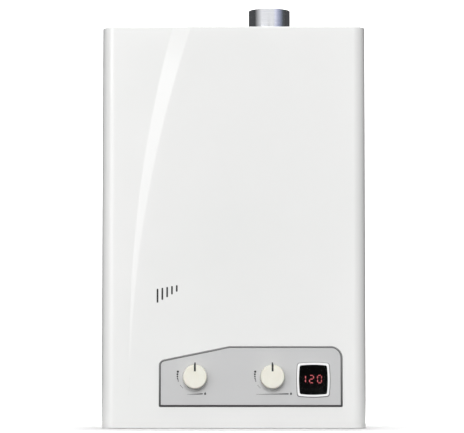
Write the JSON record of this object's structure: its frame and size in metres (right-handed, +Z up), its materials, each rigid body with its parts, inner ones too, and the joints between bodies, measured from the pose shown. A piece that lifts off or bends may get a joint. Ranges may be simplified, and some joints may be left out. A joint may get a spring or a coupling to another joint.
{
  "type": "tankless gas water heater",
  "caption": "Wall-hung tankless gas water heater: flat upright sheet-metal case with a curved crease, a low control panel with knobs and a display, and a flue collar on top.",
  "frame": {"origin": "middle of the bounding box's bottom face: under the middle of the heater, in the plane of the casing's bottom rim", "axes": "+Z up, -Y towards the front with the controls, +X to the right seen from the front"},
  "size_m": [0.382, 0.171, 0.606],
  "materials": {
    "white_enamel": "satin",
    "zinc_sheet": "galvanised",
    "panel_grey": "satin",
    "trim_grey": "satin",
    "knob_cream": "satin",
    "pointer_black": "matt",
    "frame_white": "satin",
    "window_black": "smoked, gloss",
    "digit_red": "lit",
    "circuit_board": "satin",
    "stainless": "polished",
    "steel": "plain",
    "copper": "tinned in places",
    "brass": "machined",
    "cast_aluminium": "as cast",
    "black_plastic": "matt",
    "black_rubber": "matt",
    "silicone": "matt",
    "porcelain": "glazed",
    "zinc_screw": "plated"
  },
  "bodies": {
    "heater": {"bottom_plate": "zinc_sheet", "bottom_plate_screws": "zinc_screw", "burner_bars": "steel", "burner_box": "zinc_sheet", "cable_gland": "black_rubber", "cold_inlet_fitting": "brass", "control_panel": "panel_grey", "controller_box": "black_plastic", "cover_screws": "zinc_screw", "diaphragm_cover": "brass", "diaphragm_screws": "zinc_screw", "display_board": "circuit_board", "display_frame": "frame_white", "display_window": "window_black", "drain_plug": "brass", "electrode_bracket": "steel", "electrode_insulators": "porcelain", "electrode_tips": "steel", "exchanger_fins": "copper", "exchanger_shell": "copper", "exchanger_tubes": "copper", "exhaust_hood": "zinc_sheet", "fan_motor": "black_plastic", "fan_volute": "zinc_sheet", "flue_collar": "stainless", "flue_gasket": "silicone", "front_cover": "white_enamel", "gas_feed_pipe": "cast_aluminium", "gas_inlet_fitting": "brass", "gas_manifold": "cast_aluminium", "gas_nozzles": "brass", "gas_solenoids": "black_plastic", "gas_valve_body": "cast_aluminium", "hot_outlet_fitting": "brass", "hot_pipe": "copper", "inlet_coil": "copper", "led_digits": "digit_red", "micro_switch": "black_plastic", "motor_screws": "zinc_screw", "panel_trim": "trim_grey", "pressure_switch": "black_plastic", "rear_chassis": "zinc_sheet", "stack_brackets": "zinc_sheet", "thermostat": "black_plastic", "transformer": "steel", "view_window": "black_plastic", "water_valve_body": "brass"},
    "gas_knob": {"gas_knob": "knob_cream", "gas_knob_pointer": "pointer_black", "gas_spindle": "brass"},
    "water_knob": {"water_knob": "knob_cream", "water_knob_pointer": "pointer_black", "water_spindle": "brass"},
    "fan": {"fan_wheel": "steel", "fan_shaft": "steel"},
    "push_rod": {"push_rod": "brass"},
    "switch_lever": {"switch_lever": "steel"}
  },
  "joints": [
    {"name": "gas_knob_turn", "type": "hinge", "parent": "heater", "child": "gas_knob", "pos_m": [-0.055, -0.07655, 0.0726], "axis": [0, -1, 0], "range_deg": [0, 140]},
    {"name": "water_knob_turn", "type": "hinge", "parent": "heater", "child": "water_knob", "pos_m": [0.055, -0.07655, 0.0726], "axis": [0, -1, 0], "range_deg": [0, 140]},
    {"name": "fan_spin", "type": "hinge", "parent": "heater", "child": "fan", "pos_m": [0, -0.02455, 0.47], "axis": [0, -1, 0], "continuous": true},
    {"name": "push_rod_slide", "type": "slide", "parent": "heater", "child": "push_rod", "axis": [-1, 0, 0], "range_m": [0, 0.003], "stiffness_N_per_m": 500},
    {"name": "switch_lever_turn", "type": "hinge", "parent": "heater", "child": "switch_lever", "pos_m": [-0.0017, -0.02355, 0.0931], "axis": [0, 1, 0], "range_deg": [0, 12.4]}
  ],
  "couplings": [
    {"joint": "switch_lever_turn", "follows": "push_rod_slide", "rad_per_m": 71}
  ]
}
